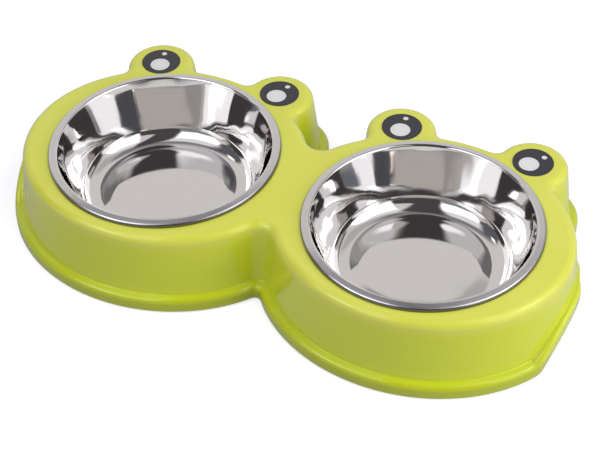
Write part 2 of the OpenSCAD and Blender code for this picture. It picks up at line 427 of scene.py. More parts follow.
@dataclass(frozen=True)
class SpunSteel(Finish):
    """Pressed steel: satin on the rim, polished inside, with the waves and lines that spinning leaves.

    Attributes:
        centre: the bowl's centre from above, in metres.
        satin: roughness of the rim.
        satin_band: radii between which the polish gives way to the satin rim, in metres.
        lip_shade_band: radii between which the rim gives way to the painted shade on its lip, in metres.
        wall_band: radii between which the waves grow from the floor to the wall, in metres.
        rim_tint: brightness of the rim, against the plain colour.
        rim_shift: the rim's tone.
        lip_shade_tint: brightness of the painted shade on the lip.
        line_tint: brightness of the stain in the turned lines.
        wave_height: height of the waves round the wall.
        wave_turns: how closely they stand round the wall.
        wave_rise: how closely they stand up it.
        line_height: height of the fine turned lines.
        line_scale: how closely they lie.
    """

    name: str = "Spun_steel"
    colour: Colour = (0.70, 0.68, 0.67)
    roughness: float = 0.05
    centre: Flat = (0.0, 0.0)
    satin: float = 0.26
    satin_band: Flat = (0.0628, 0.0636)
    lip_shade_band: Flat = (0.0668, 0.0672)
    wall_band: Flat = (0.046, 0.055)
    rim_tint: float = 0.93
    rim_shift: Colour = (1.0, 1.02, 1.05)
    lip_shade_tint: float = 0.25
    line_tint: float = 0.6
    wave_height: float = 0.0006
    wave_turns: float = 3.0
    wave_rise: float = 24.0
    line_height: float = 0.0000035
    line_scale: float = 2600.0

    def material(self) -> bpy.types.Material:
        """Makes the steel.

        Returns:
            The material.
        """
        material, wiring, shader = self.start()
        place = wiring.place()
        local = wiring.vector("SUBTRACT", place, (*self.centre, 0.0))
        flat = wiring.vector("MULTIPLY", local, (1.0, 1.0, 0.0))
        radius = wiring.vector("LENGTH", flat, out=1)
        lines = wiring.noise(wiring.add("ShaderNodeCombineXYZ", {0: radius}), self.line_scale, 2.0)
        rim = wiring.span(radius, *self.satin_band)
        polish = self.uneven(wiring, wiring.noise(place, 60.0, 3.0), (0.35, 0.7), (0.8, 1.4))
        wave = wiring.bump(self.wave(wiring, flat, radius, wiring.height(local)), self.wave_height)
        wiring.feed(shader, {
            "Base Color": self.tone(wiring, radius, rim, lines),
            "Roughness": wiring.add("ShaderNodeMix", {0: rim, 2: polish, 3: self.satin}),
            "Normal": wiring.bump(lines, self.line_height, over=wave),
            "Metallic": 1.0,
        })
        return material

    def tone(self, wiring: Wiring, radius: Socket, rim: Socket, lines: Socket) -> Socket:
        """The colour: the rim, painted shade on its lip, and a faint stain in the turned lines.

        Args:
            wiring: the material's wiring.
            radius: distance from the bowl's axis.
            rim: share of the satin rim.
            lines: the turned lines.

        Returns:
            The colour at each place.
        """
        shade = wiring.blend(rim, self.tint(), self.tint(self.rim_tint, self.rim_shift))
        # Painted shade: the lip under the rim's outer edge is darkened.
        shaded_lip = wiring.blend(wiring.span(radius, *self.lip_shade_band), shade, self.tint(self.lip_shade_tint))
        return wiring.blend(wiring.span(lines, 0.3, 0.8, 0.0, 0.12), shaded_lip, self.tint(self.line_tint))

    def wave(self, wiring: Wiring, flat: Socket, radius: Socket, rise: Socket) -> Socket:
        """The slow waves round the wall.

        Args:
            wiring: the material's wiring.
            flat: the place from the bowl's axis, without its height.
            radius: distance from the axis.
            rise: the height.

        Returns:
            The waves' relief.
        """
        spoke = wiring.scaled(wiring.vector("NORMALIZE", flat), self.wave_turns)
        lift = wiring.add("ShaderNodeCombineXYZ", {2: wiring.math("MULTIPLY", rise, self.wave_rise)})
        ripple = wiring.noise(wiring.vector("ADD", spoke, lift), 1.0, 1.0)
        return wiring.math("MULTIPLY", ripple, wiring.span(radius, *self.wall_band))


@dataclass(frozen=True)
class PrintedFilm(Finish):
    """One layer of an eye's round sticker. It reads each eye's own coordinates.

    Attributes:
        outline_band: radii between which the thin outline at the edge starts, in metres.
        outline_tint: brightness of the outline, against the plain colour.
        ring: middle radius of the faint ring in the pupil, in metres.
        ring_band: distances from that radius between which the ring fades, in metres.
        pupil: the pupil's centre, in the eye's coordinates, in metres.
        grain_height: height of the fine grain.
    """

    name: str = "Eye_film"
    colour: Colour = (0.75, 0.75, 0.75)
    roughness: float = 0.22
    outline_band: Flat = (0.0110, 0.0114)
    outline_tint: float = 0.5
    ring: float = 0.0043
    ring_band: Flat = (0.0001, 0.0004)
    pupil: Flat = (0.0, -0.0029)
    grain_height: float = 0.00001

    def material(self) -> bpy.types.Material:
        """Makes the film.

        Returns:
            The material.
        """
        material, wiring, shader = self.start()
        eye = wiring.add("ShaderNodeAttribute", out="Vector", attribute_name="eye_place")
        edge = wiring.span(wiring.vector("LENGTH", eye, out=1), *self.outline_band)
        away = wiring.vector("LENGTH", wiring.vector("SUBTRACT", eye, (*self.pupil, 0.0)), out=1)
        off = wiring.math("ABSOLUTE", wiring.math("SUBTRACT", away, self.ring))
        speck = wiring.noise(eye, 1800.0, 3.0)
        plain = wiring.blend(wiring.span(speck, 0.3, 0.8, 0.0, 0.5), self.tint(), self.tint(0.9))
        ringed = wiring.blend(wiring.span(off, *self.ring_band, 0.32, 0.0), plain, self.tint(0.6))
        wiring.feed(shader, {
            "Base Color": wiring.blend(edge, ringed, self.tint(self.outline_tint)),
            "Roughness": self.uneven(wiring, speck, (0.2, 0.8), (0.8, 1.3)),
            "Normal": wiring.bump(speck, self.grain_height, 0.5),
        })
        return material


@dataclass(frozen=True)
class SoftRubber(Finish):
    """Matt black rubber with a fine grain and a little dust.

    Attributes:
        dust_tint: brightness of the dust, against the plain colour.
        grain_height: height of the fine grain.
    """

    name: str = "Foot_rubber"
    colour: Colour = (0.018, 0.018, 0.02)
    roughness: float = 0.68
    dust_tint: float = 2.2
    grain_height: float = 0.00004

    def material(self) -> bpy.types.Material:
        """Makes the rubber.

        Returns:
            The material.
        """
        material, wiring, shader = self.start()
        place = wiring.place()
        grain = wiring.noise(place, 1400.0, 3.0)
        dust = wiring.span(wiring.noise(place, 160.0, 4.0), 0.5, 0.8, 0.0, 0.4)
        wiring.feed(shader, {
            "Base Color": wiring.blend(dust, self.tint(), self.tint(self.dust_tint)),
            "Roughness": self.uneven(wiring, grain, (0.2, 0.8), (0.9, 1.15)),
            "Normal": wiring.bump(grain, self.grain_height, 0.8),
        })
        return material


class Shell:
    """Collects the rings and faces of one piece, in millimetres, and makes its object."""

    def __init__(self) -> None:
        """Starts with no points."""
        self.bm = bmesh.new()

    def ring(self, points: Iterable[Sequence[float]]) -> Ring:
        """Adds a ring of points."""
        return [self.bm.verts.new([c * MM for c in p]) for p in points]

    def circle(self, centre: Flat, radius: float, z: float, steps: int) -> Ring:
        """Adds a level circle of points."""
        turns = [unit(360 * i / steps) for i in range(steps)]
        return self.ring((centre[0] + radius * u[0], centre[1] + radius * u[1], z) for u in turns)

    def bridge(self, rings: Sequence[Ring]) -> None:
        """Joins each ring to the next with quads.

        Args:
            rings: rings of equal length.
        """
        for a, b in zip(rings, rings[1:]):
            for i in range(len(a)):
                j = (i + 1) % len(a)
                self.bm.faces.new((a[i], a[j], b[j], b[i]))

    def lathe(self, centre: Flat, profile: Sequence[Flat], steps: int) -> list[Ring]:
        """Turns a profile of radius and height round a centre.

        Args:
            centre: the axis from above.
            profile: radius and height of each ring.
            steps: steps round the axis.

        Returns:
            The rings.
        """
        rings = [self.circle(centre, r, z, steps) for r, z in profile]
        self.bridge(rings)
        return rings

    def cap(self, ring: Ring) -> None:
        """Closes a ring with triangles round its middle.

        Args:
            ring: the ring.
        """
        middle = self.bm.verts.new(sum((v.co for v in ring), Vector()) / len(ring))
        for i in range(len(ring)):
            self.bm.faces.new((ring[i], ring[(i + 1) % len(ring)], middle))

    def fill(self, loops: Sequence[Ring]) -> None:
        """Fills the flat area between an outer loop and the loops inside it.

        Args:
            loops: the outer loop, and then the others.
        """
        pairs = [pair for loop in loops for pair in zip(loop, loop[1:] + loop[:1])]
        edges = [self.bm.edges.get(pair) or self.bm.edges.new(pair) for pair in pairs]
        bmesh.ops.triangle_fill(self.bm, use_beauty=True, use_dissolve=False, edges=edges)

    def make(self, name: str, material: bpy.types.Material, sharp: float = 32.0) -> bpy.types.Object:
        """Makes the object, smooth but for its sharp edges.

        Args:
            name: the piece's name.
            material: its material.
            sharp: angle in degrees from which an edge is sharp.

        Returns:
            The object, at the origin.
        """
        bmesh.ops.recalc_face_normals(self.bm, faces=self.bm.faces)
        mesh = bpy.data.meshes.new(name)
        self.bm.to_mesh(mesh)
        self.bm.free()
        return place_mesh(mesh, name, material, sharp)


def place_mesh(mesh: bpy.types.Mesh, name: str, material: bpy.types.Material,
               sharp: float) -> bpy.types.Object:
    """Puts a mesh in the scene as a piece.

    Args:
        mesh: the mesh, in the part's frame.
        name: the piece's name.
        material: its material.
        sharp: angle in degrees from which an edge is sharp.

    Returns:
        The object, at the origin.
    """
    mesh.materials.clear()
    mesh.materials.append(material)
    mesh.shade_smooth()
    mesh.set_sharp_from_angle(angle=math.radians(sharp))
    piece = bpy.data.objects.new(name, mesh)
    bpy.context.scene.collection.objects.link(piece)
    return piece


def settle(piece: bpy.types.Object, body: str, slot: Slot, nodes: Iterable[str]) -> None:
    """Tells the frame what a piece rides on and stands for.

    Args:
        piece: the finished piece.
        body: the body that it rides on.
        slot: the material slot of its finish; not used.
        nodes: the nodes that it takes the place of.
    """
    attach(piece, body)
    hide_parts(*nodes)
    log.info("%s rides on %s: %d faces", piece.name, body, len(piece.data.polygons))


@dataclass(frozen=True)
class Layout:
    """Sizes that the stand, the bowls and the eyes share, in millimetres.

    Attributes:
        pitch: distance between the bowls.
        row_y: their place from front to back.
        deck_z: height of the deck above the floor.
        foot_proud: how far the feet lift the stand.
        rim_r: radius of a bowl over its rim.
        mouth_r: radius inside its mouth.
        sheet: thickness of its steel.
        hole_r: radius of its hole in the deck.
        lobe_x: a lobe's place beside its bowl.
        lobe_y: its place behind the bowl.
    """

    pitch: float = 159.5
    row_y: float = -8.55
    deck_z: float = 47.6
    foot_proud: float = 0.8
    rim_r: float = 67.5
    mouth_r: float = 62.0
    sheet: float = 0.7
    hole_r: float = 63.5
    lobe_x: float = 40.2
    lobe_y: float = 71.8

    def bowl_centre(self, side: Side) -> Flat:
        """Centre of a bowl from above."""
        return side.value * self.pitch / 2, self.row_y

    def lobes(self) -> list[Flat]:
        """Centres of the four lobes, left to right."""
        return [(s * self.pitch / 2 + t * self.lobe_x, self.row_y + self.lobe_y)
                for s in (-1, 1) for t in (-1, 1)]


@dataclass(frozen=True)
class HeadOutline:
    """The line round both heads, at any distance outward from the deck's edge, in millimetres.

    Attributes:
        pitch: distance between the heads.
        lobe_c: a lobe's centre from its head's.
        deck_a: half of a head's width at the deck.
        deck_b: half of its length.
        lobe_r: radius of a lobe.
        waist_r: radius of the hollow between the heads.
        waist_tighten: how much it tightens for each millimetre outward.
        blend_r: radius of the hollow beside a lobe.
        blend_tighten: how much that tightens.
        waist_steps: steps round half of the hollow between the heads.
        front_steps: steps from there round the front to the first lobe.
        blend_steps: steps round a hollow beside a lobe.
        lobe_steps: steps round a lobe.
        brow_steps: steps between the lobes.
        cheek_steps: steps from the second lobe to the middle.
    """

    pitch: float
    lobe_c: Flat
    deck_a: float = 84.7
    deck_b: float = 74.7
    lobe_r: float = 20.0
    waist_r: float = 10.5
    waist_tighten: float = 0.7
    blend_r: float = 7.0
    blend_tighten: float = 0.4
    waist_steps: int = 12
    front_steps: int = 120
    blend_steps: int = 10
    lobe_steps: int = 44
    brow_steps: int = 20
    cheek_steps: int = 28

    def direction(self, t: float) -> Flat:
        """Finds the outward direction of the head's curve.

        Args:
            t: the curve's angle, in degrees.

        Returns:
            The direction, one long.
        """
        c, s = unit(t)
        x, y = c / self.deck_a, s / self.deck_b
        return x / math.hypot(x, y), y / math.hypot(x, y)

    def at(self, t: float, d: float) -> Flat:
        """Finds a point of the head's curve.

        Args:
            t: the curve's angle, in degrees.
            d: how far the point is moved outward.

        Returns:
            The point, from the head's centre.
        """
        c, s = unit(t)
        n = self.direction(t)
        return self.deck_a * c + d * n[0], self.deck_b * s + d * n[1]

    def head_run(self, t0: float, t1: float, steps: int, d: float) -> list[Station]:
        """Stations along the head's own curve."""
        turns = [mix(t0, t1, i / steps) for i in range(steps + 1)]
        return [(self.at(t, d), self.direction(t)) for t in turns]

    def arc_run(self, c: Flat, r: float, a0: float, a1: float, steps: int, side: int) -> list[Station]:
        """Stations on an arc; side is 1 on a bulge and -1 in a hollow."""
        turns = [unit(mix(a0, a1, i / steps)) for i in range(steps + 1)]
        return [((c[0] + r * u[0], c[1] + r * u[1]), (side * u[0], side * u[1])) for u in turns]

    def blend_at(self, d: float, lo: float, hi: float) -> float:
        """Finds where the head's curve meets a blend with its lobe.

        Args:
            d: distance outward from the deck's edge.
            lo: angle beyond the blend on one side.
            hi: angle beyond it on the other.

        Returns:
            The curve's angle, in degrees.
        """
        r = self.blend_r - self.blend_tighten * d

        def miss(t: float) -> float:
            """How far the blend is from touching the lobe."""
            x, y = self.at(t, d + r)
            return math.hypot(x - self.lobe_c[0], y - self.lobe_c[1]) - (self.lobe_r + d + r)

        return root(miss, lo, hi)

    def lobe_run(self, d: float, t_out: float, t_in: float) -> list[Station]:
        """Stations over blend, lobe and blend.

        Args:
            d: distance outward from the deck's edge.
            t_out: angle where the head's curve ends on its end side.
            t_in: angle where it starts again on its brow side.

        Returns:
            The stations.
        """
        r = self.blend_r - self.blend_tighten * d
        lx, ly = self.lobe_c
        ox, oy = self.at(t_out, d + r)
        ix, iy = self.at(t_in, d + r)
        out_n, in_n = self.direction(t_out), self.direction(t_in)
        a_out = bearing(-out_n[0], -out_n[1])
        b_out = near(bearing(lx - ox, ly - oy), a_out)
        a_lobe = bearing(ox - lx, oy - ly)
        b_lobe = near(bearing(ix - lx, iy - ly), a_lobe + 180)
        a_in = bearing(lx - ix, ly - iy)
        b_in = near(bearing(-in_n[0], -in_n[1]), a_in)
        return (self.arc_run((ox, oy), r, a_out, b_out, self.blend_steps, -1)[:-1]
                + self.arc_run((lx, ly), self.lobe_r + d, a_lobe, b_lobe, self.lobe_steps, 1)[:-1]
                + self.arc_run((ix, iy), r, a_in, b_in, self.blend_steps, -1))

    def half(self, d: float) -> list[Station]:
        """Half of the outline, from the middle of the front round the right head.

        Args:
            d: distance outward from the deck's edge.

        Returns:
            The stations.
        """
        lobe_t = bearing(self.lobe_c[0] / self.deck_a, self.lobe_c[1] / self.deck_b)
        r = self.waist_r - self.waist_tighten * d
        t_waist = root(lambda t: self.at(t, d + r)[0] + self.pitch / 2, 180, 270)
        t_out = self.blend_at(d, 0, lobe_t)
        t_in = self.blend_at(d, 90, lobe_t)
        n = self.direction(t_waist)
        centre = self.at(t_waist, d + r)
        lobe = self.lobe_run(d, t_out, t_in)
        waist = self.arc_run(centre, r, 90, bearing(-n[0], -n[1]), self.waist_steps, -1)
        run = (waist[:-1] + self.head_run(t_waist, 360 + t_out, self.front_steps, d)[:-1] + lobe[:-1]
               + self.head_run(t_in, 180 - t_in, self.brow_steps, d)[:-1] + mirrored(lobe)[:-1]
               + self.head_run(180 - t_out, 360 - t_waist, self.cheek_steps, d)[:-1]
               + [((x, -y), (nx, -ny)) for (x, y), (nx, ny) in reversed(waist)])
        return [((x + self.pitch / 2, y), normal) for (x, y), normal in run]

    def whole(self, d: float) -> list[Station]:
        """The whole outline, anticlockwise from above, each point once."""
        half = self.half(d)
        return half[:-1] + mirrored(half)[:-1]


def mirrored(run: list[Station]) -> list[Station]:
    """A run of stations mirrored left to right, in its new order."""
    return [((-x, y), (-nx, ny)) for (x, y), (nx, ny) in reversed(run)]


@dataclass
class FrogStand:
    """The moulded stand: deck, leaning wall, foot flange, finger arches, collars, posts and webs.

    Attributes:
        layout: the sizes that it shares with the other pieces.
        outline: the line round its heads.
        finish: its plastic.
        stand_h: height of the moulding.
        wall_t: thickness of the wall and the deck.
        edge_r: radius of the deck's edge.
        wall_lean: how far the wall leans out on its way down to the flange.
        flange_w: width of the foot flange.
        flange_h: height of its top.
        flange_r: radius of its upper edge.
        arch_h: height of a finger arch.
        arch_half_w: half of its width.
        arch_y: its middle, from front to back.
        arch_power: power of its curve: 2 is a parabola, and more is flatter at the crown.
        crown_share: width of the flange over the crown, as a share.
        bead_share: its width behind the crown, where it is a bead.
        taper_run: share of the arch over which it narrows to the bead.
        back_run: share of the arch over which it widens again.
        flange_tries: places on each side at which the flange's distance from the arch is tried.
        groove_share: height of the groove above the flange, as a share of the flange's width.
        corner_share: how far its corner is cut, as a share of the groove.
        edge_share: most that the flange's upper edge may take of its width.
        collar_h: depth of a hole's collar below the deck.
        rib_t: thickness of the collars and webs.
        post_r: radius of a post.
        bore_r: radius of its bore.
        post_z: height of its lower end.
        post_turn: bearing of the front posts from their head's side, in degrees.
        web_y: place of a web from the bowls' row.
        foot_bevel: radius at the flange's lower edge.
        foot_round: the small round inside that edge.
        flange_round: the round inside the flange: along it and up it.
        root_round: the round under the deck's edge: its near and its far reach.
        deck_land: the flat rings that lead in to the deck's edge.
        mouth_round: the round at a hole's upper edge, as offset and drop.
        collar_round: the small round at a collar's lower edge.
        collar_root: the round where a collar leaves the deck, as offset and drop.
        post_round: the small round at a post's lower end.
        web_half: half of a web's thickness at its lower and its upper edge, as shares.
        hole_steps: steps round a hole.
        post_steps: steps round a post.
        edge_steps: steps of the deck's edge.
        wall_steps: steps down the wall.
        groove_steps: steps of the groove above the flange.
        flange_steps: steps of the flange's upper edge.
        bevel_steps: steps of its lower edge.
    """

    layout: Layout
    outline: HeadOutline
    finish: MouldedPlastic
    stand_h: float = 46.8
    wall_t: float = 2.5
    edge_r: float = 5.0
    wall_lean: float = 4.7
    flange_w: float = 5.2
    flange_h: float = 8.5
    flange_r: float = 3.4
    arch_h: float = 18.0
    arch_half_w: float = 42.5
    arch_y: float = 4.5
    arch_power: float = 2.5
    crown_share: float = 0.72
    bead_share: float = 0.3
    taper_run: float = 0.3
    back_run: float = 0.12
    flange_tries: int = 24
    groove_share: float = 0.2
    corner_share: float = 0.1
    edge_share: float = 0.65
    collar_h: float = 12.0
    rib_t: float = 2.0
    post_r: float = 5.65
    bore_r: float = 3.65
    post_z: float = 1.2
    post_turn: float = 35.0
    web_y: float = 17.8
    foot_bevel: float = 0.6
    foot_round: float = 0.3
    flange_round: Flat = (0.2, 0.4)
    root_round: Flat = (0.25, 0.8)
    deck_land: Flat = (1.4, 0.5)
    mouth_round: tuple[Flat, ...] = ((1.6, 0.0), (0.9, 0.0), (0.5, 0.07), (0.2, 0.28), (0.0, 0.8))
    collar_round: float = 0.4
    collar_root: tuple[Flat, ...] = ((0.0, 0.6), (0.3, 0.15), (0.8, 0.0))
    post_round: float = 0.3
    web_half: Flat = (0.35, 0.5)
    hole_steps: int = 192
    post_steps: int = 48
    edge_steps: int = 12
    wall_steps: int = 5
    groove_steps: int = 5
    flange_steps: int = 8
    bevel_steps: int = 4

    @property
    def lean_angle(self) -> float:
        """Lean of the wall from upright, in degrees."""
        return math.degrees(math.atan(self.wall_lean / (self.stand_h - self.flange_h)))

    @property
    def edge_start(self) -> float:
        """Offset at which the deck's rounded edge starts."""
        return -self.edge_r * math.tan(math.radians((90 - self.lean_angle) / 2))

    def wall_at(self, z: float) -> float:
        """Offset of the outer wall from the deck's outline at a height."""
        return self.wall_lean * (self.stand_h - z) / (self.stand_h - self.flange_h)

    def arch_at(self, y: float) -> float:
        """Height of the lower edge at a place on an end of the stand."""
        f = abs(y - self.arch_y) / self.arch_half_w
        return self.arch_h * (1 - f ** self.arch_power) if f < 1 else 0.0

    def flange_top(self, y: float) -> float:
        """Height of the flange's top, which keeps its distance from the lower edge."""
        shares = [i / self.flange_tries for i in range(-self.flange_tries, self.flange_tries + 1)]
        return max(self.arch_at(y + f * self.flange_h) + self.flange_h * math.sqrt(1 - f * f) for f in shares)

    def flange_width(self, y: float) -> float:
        """Width of the flange: narrower over the arch, and a bead behind its crown.

        Args:
            y: the place on an end of the stand, from front to back.

        Returns:
            The width.
        """
        u = (y - self.arch_y) / self.arch_half_w
        crown = mix(1, self.crown_share, self.arch_at(y) / self.arch_h)
        taper = ease(u / self.taper_run)
        back = ease((u - 1) / self.back_run)
        return self.flange_w * crown * mix(1, mix(self.bead_share / crown, 1, back), taper)

    def section(self, low: float, top: float, width: float) -> list[Flat]:
        """Section of the rim of the moulding, from the deck round to the deck's underside.

        Args:
            low: height of the lower edge.
            top: height of the flange's top.
            width: width of the flange.

        Returns:
            Offset and height of each ring.
        """
        groove = self.groove_share * width
        r = min(self.flange_r, self.edge_share * width)
        out = self.wall_at(top) + width
        t, start, bevel = self.wall_t, self.edge_start, self.foot_bevel
        edge = arc((start, self.stand_h - self.edge_r), self.edge_r, 90, self.lean_angle, self.edge_steps)
        heights = [mix(edge[-1][1], top + groove, i / self.wall_steps) for i in range(1, self.wall_steps + 1)]
        wall = [(self.wall_at(z), z) for z in heights]
        corner = (self.wall_at(top) + self.corner_share * groove, top + self.corner_share * groove)
        flange = arc((out - r, top - r), r, 90, 0, self.flange_steps)
        lower = arc((out - bevel, low + bevel), bevel, 0, -90, self.bevel_steps)
        return ([(start - land, self.stand_h) for land in self.deck_land] + edge + wall
                + self.hollow(wall[-1], corner, (self.wall_at(top) + groove, top))
                + flange + lower + self.inner_face(low, top, out - t))

    def hollow(self, a: Flat, b: Flat, c: Flat) -> list[Flat]:
        """Rounds the hollow between the wall and the flange.

        Args:
            a: the point on the wall, which is left out.
            b: the corner.
            c: the point on the flange.

        Returns:
            The points.
        """
        shares = [i / self.groove_steps for i in range(1, self.groove_steps + 1)]
        return [tuple(a[k] * (1 - f) ** 2 + 2 * b[k] * f * (1 - f) + c[k] * f * f for k in (0, 1))
                for f in shares]

    def inner_face(self, low: float, top: float, out: float) -> list[Flat]:
        """The inner face of the rim of the moulding, from its lower edge to the deck's underside.

        Args:
            low: height of the lower edge.
            top: height of the flange's top.
            out: offset of the flange's inner face.

        Returns:
            Offset and height of each ring.
        """
        t, under = self.wall_t, self.stand_h - self.wall_t
        along, up = self.flange_round
        close, far = self.root_round
        return [(out + self.foot_round, low), (out, low + self.foot_round),
                (out, top - t - up), (out - along, top - t),
                (self.wall_at(top - t) - t, top - t), (self.wall_at(under - far) - t, under - far),
                (self.wall_at(under) - t - close, under - close), (self.wall_at(under) - t - far, under)]

    def rim(self, shell: Shell) -> tuple[Ring, Ring]:
        """Builds the rim of the moulding.

        Args:
            shell: the mesh to add to.

        Returns:
            The rings at the edge of the deck's top and of its underside.
        """
        guide = self.outline.whole(self.wall_lean + self.flange_w)
        plain = self.section(0, self.flange_h, self.flange_w)
        half_pitch = self.outline.pitch / 2
        sections = [plain if abs(x) < half_pitch else
                    self.section(self.arch_at(y), self.flange_top(y), self.flange_width(y))
                    for (x, y), _ in guide]
        rings = []
        for k, (d, _) in enumerate(plain):
            points = []
            for ((x, y), (nx, ny)), section in zip(self.outline.whole(d), sections):
                offset, z = section[k]
                out = offset - d
                points.append((x + out * nx, y + out * ny + self.layout.row_y, z + self.layout.foot_proud))
            rings.append(shell.ring(points))
        shell.bridge(rings)
        return rings[0], rings[-1]

    def collar(self, shell: Shell, side: Side) -> tuple[Ring, Ring]:
        """Builds a hole and its collar.

        Args:
            shell: the mesh to add to.
            side: whose hole it is.

        Returns:
            The rings at the deck's top and at its underside.
        """
        r, top, c = self.layout.hole_r, self.layout.deck_z, self.collar_round
        outer, under, low = r + self.rib_t, top - self.wall_t, top - self.collar_h
        profile = [(r + offset, top - drop) for offset, drop in self.mouth_round]
        profile += [(r, low + c), (r + c, low), (outer - c, low), (outer, low + c)]
        profile += [(outer + offset, under - drop) for offset, drop in self.collar_root]
        rings = shell.lathe(self.layout.bowl_centre(side), profile, self.hole_steps)
        return rings[0], rings[-1]

    def posts(self) -> list[Flat]:
        """Finds the centres of the eight posts.

        Returns:
            The centres, as the feet are numbered.
        """
        wall = self.outline.at(-self.post_turn, 0)
        reach = math.hypot(*wall)
        share = (self.layout.hole_r + self.rib_t + reach - self.wall_t) / 2 / reach
        lobes, places = self.layout.lobes(), []
        for k, side in enumerate(Side):
            x, y = self.layout.bowl_centre(side)
            places += lobes[2 * k:2 * k + 2]
            places += [(x + s * wall[0] * share, y + wall[1] * share) for s in (-1, 1)]
        return places

    def post(self, shell: Shell, centre: Flat) -> Ring:
        """Builds a post with its blind bore.

        Args:
            shell: the mesh to add to.
            centre: the post's axis.

        Returns:
            Its ring at the deck's underside.
        """
        under, c = self.layout.deck_z - self.wall_t, self.post_round
        low = self.post_z + self.layout.foot_proud
        profile = [(self.bore_r, under), (self.bore_r, low + c), (self.bore_r + c, low),
                   (self.post_r - c, low), (self.post_r, low + c), (self.post_r, under)]
        rings = shell.lathe(centre, profile, self.post_steps)
        shell.cap(rings[0])
        return rings[-1]

    def web(self, shell: Shell, y: float) -> None:
        """Builds a web between the collars, its ends and top sunk into what it joins.

        Args:
            shell: the mesh to add to.
            y: the web's place from the bowls' row.
        """
        reach = math.sqrt((self.layout.hole_r + self.rib_t / 2) ** 2 - y * y)
        half = self.layout.pitch / 2 - reach
        top, low = self.layout.deck_z - self.wall_t / 2, self.layout.deck_z - self.collar_h
        foot, head = self.web_half
        corners = ((-foot, low), (foot, low), (head, top), (-head, top))
        rings = [shell.ring((x, self.layout.row_y + y + s * self.rib_t, z) for s, z in corners)
                 for x in (-half, -half / 3, half / 3, half)]
        shell.bridge(rings)
        shell.cap(rings[0])
        shell.cap(rings[-1])

    def build(self) -> bpy.types.Object:
        """Builds and dresses the whole stand.

        Returns:
            The stand.
        """
        shell = Shell()
        top, under = self.rim(shell)
        collars = [self.collar(shell, side) for side in Side]
        posts = [self.post(shell, centre) for centre in self.posts()]
        shell.fill([top] + [c[0] for c in collars])
        shell.fill([under] + [c[1] for c in collars] + posts)
        for s in (-1, 1):
            self.web(shell, s * self.web_y)
        stand = shell.make("frog_stand", self.finish.material())
        settle(stand, "stand", Slot.PLASTIC, ["stand"])
        return stand


